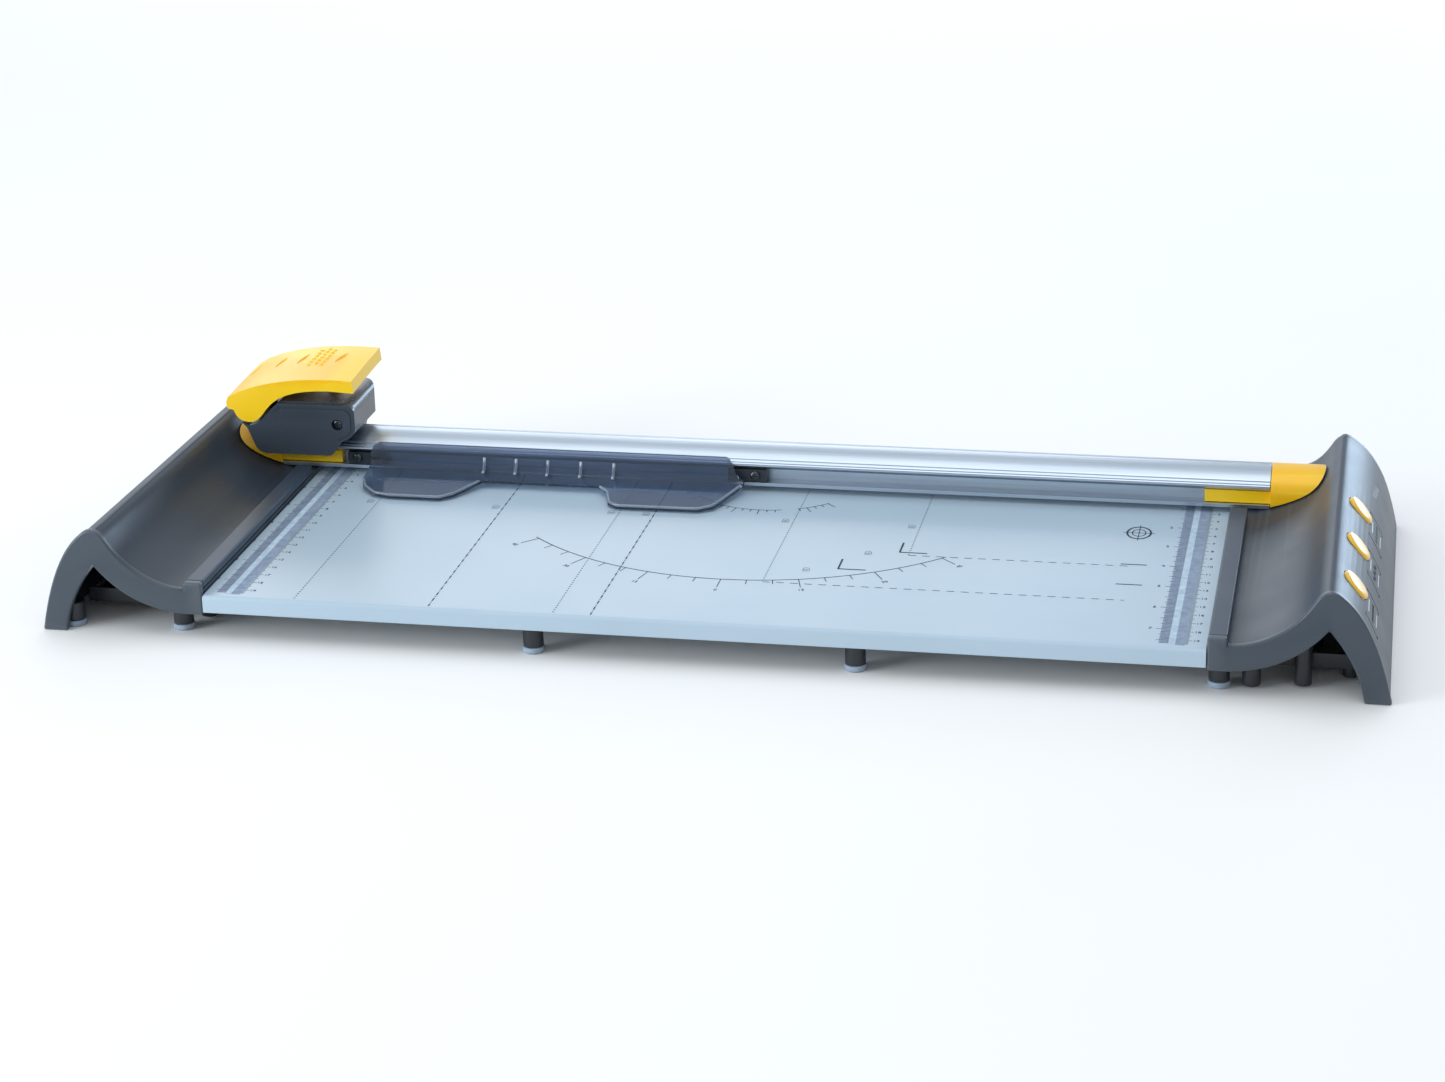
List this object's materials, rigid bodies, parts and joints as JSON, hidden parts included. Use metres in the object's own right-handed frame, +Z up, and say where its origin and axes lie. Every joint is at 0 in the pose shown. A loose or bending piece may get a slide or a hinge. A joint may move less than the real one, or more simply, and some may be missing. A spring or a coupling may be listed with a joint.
{
  "type": "rotary paper trimmer",
  "caption": "Flat paper trimmer: printed metal board between two raised end casings, aluminium rail, sliding carriage with press lever and round blade, clear sliding paper guide.",
  "frame": {"origin": "on the table under the middle of the trimmer", "axes": "+X along the cut to the right, +Y to the back, +Z up; the blade runs in the plane y = 0.088 m"},
  "size_m": [0.6212, 0.224, 0.0761],
  "materials": {
    "casing_plastic": "satin blue-grey moulded plastic",
    "end_plate_plastic": "fine matt dark slate plastic with polished edge",
    "fence_plastic": "satin grey plastic",
    "board_enamel": "gloss pale blue-grey enamel with printed scales",
    "mat_plastic": "self-healing grey cutting strip",
    "black_plastic": "satin black plastic",
    "carriage_plastic": "satin blue-black plastic",
    "yellow_plastic": "satin warm yellow plastic",
    "nylon": "natural nylon",
    "rubber_tip": "matt pale grey rubber",
    "rail_aluminium": "drawn and brushed lengthwise, clear anodised",
    "black_steel": "blackened steel",
    "steel": "ground steel",
    "clear_plastic": "polished smoky transparent plastic"
  },
  "bodies": {
    "base": {"left_casing": "casing_plastic", "right_casing": "casing_plastic", "left_front_plate": "end_plate_plastic", "left_rear_plate": "end_plate_plastic", "right_front_plate": "end_plate_plastic", "right_rear_plate": "end_plate_plastic", "left_fence": "fence_plastic", "right_fence": "fence_plastic", "base_board": "board_enamel", "cutting_mat": "mat_plastic", "front_cross_member": "black_plastic", "rear_cross_member": "black_plastic", "left_bottom_tray": "black_plastic", "right_bottom_tray": "black_plastic", "left_corner_post": "black_plastic", "left_front_post": "black_plastic", "left_tray_post": "black_plastic", "right_front_post": "black_plastic", "right_second_post": "black_plastic", "right_third_post": "black_plastic", "right_tray_post": "black_plastic", "stored_cartridge_1": "carriage_plastic", "stored_cartridge_2": "carriage_plastic", "stored_cartridge_3": "carriage_plastic", "left_rail_cap": "yellow_plastic", "right_rail_cap": "yellow_plastic", "front_left_foot": "rubber_tip", "front_right_foot": "rubber_tip", "rear_left_foot": "rubber_tip", "rear_right_foot": "rubber_tip", "left_corner_tip": "rubber_tip", "left_front_tip": "rubber_tip", "right_front_tip": "rubber_tip", "rail": "rail_aluminium", "left_rail_screw": "steel", "right_rail_screw": "steel"},
    "carriage": {"carriage_body": "carriage_plastic", "carriage_front_plate": "carriage_plastic", "carriage_rear_cover": "carriage_plastic", "front_glide": "nylon", "rear_glide": "nylon", "front_plate_screw": "black_steel", "lever_pin": "steel", "lever_spring": "steel"},
    "lever": {"lever": "yellow_plastic"},
    "blade_carrier": {"blade_carrier": "nylon", "blade_cartridge": "yellow_plastic", "blade_axle": "steel"},
    "blade": {"rotary_blade": "steel"},
    "guide": {"paper_guide": "clear_plastic", "left_guide_shoe": "black_plastic", "right_guide_shoe": "black_plastic", "left_guide_screw": "black_steel", "right_guide_screw": "black_steel"},
    "button_1": {"storage_button_1": "yellow_plastic"},
    "button_2": {"storage_button_2": "yellow_plastic"},
    "button_3": {"storage_button_3": "yellow_plastic"}
  },
  "joints": [
    {"name": "carriage_slide", "type": "slide", "parent": "base", "child": "carriage", "axis": [1, 0, 0], "range_m": [0, 0.47]},
    {"name": "lever_press", "type": "hinge", "parent": "carriage", "child": "lever", "pos_m": [-0.262, 0.079, 0.0562], "axis": [0, 1, 0], "range_deg": [0, 4], "stiffness_Nm_per_rad": 4, "springref_deg": -1.72, "deforming": ["lever_spring"]},
    {"name": "blade_plunge", "type": "slide", "parent": "carriage", "child": "blade_carrier", "axis": [0, 0, -1], "range_m": [0, 0.0021]},
    {"name": "blade_spin", "type": "hinge", "parent": "blade_carrier", "child": "blade", "pos_m": [-0.237, 0.088, 0.0375], "axis": [0, 1, 0], "continuous": true},
    {"name": "guide_slide", "type": "slide", "parent": "base", "child": "guide", "axis": [1, 0, 0], "range_m": [-0.003, 0.215]},
    {"name": "button_press_1", "type": "slide", "parent": "base", "child": "button_1", "axis": [-0.765, 0, -0.644], "range_m": [0, 0.0015], "stiffness_N_per_m": 600, "springref_m": -0.001},
    {"name": "button_press_2", "type": "slide", "parent": "base", "child": "button_2", "axis": [-0.765, 0, -0.644], "range_m": [0, 0.0015], "stiffness_N_per_m": 600, "springref_m": -0.001},
    {"name": "button_press_3", "type": "slide", "parent": "base", "child": "button_3", "axis": [-0.765, 0, -0.644], "range_m": [0, 0.0015], "stiffness_N_per_m": 600, "springref_m": -0.001}
  ],
  "couplings": [
    {"joint": "blade_plunge", "follows": "lever_press", "m_per_rad": 0.03008}
  ]
}
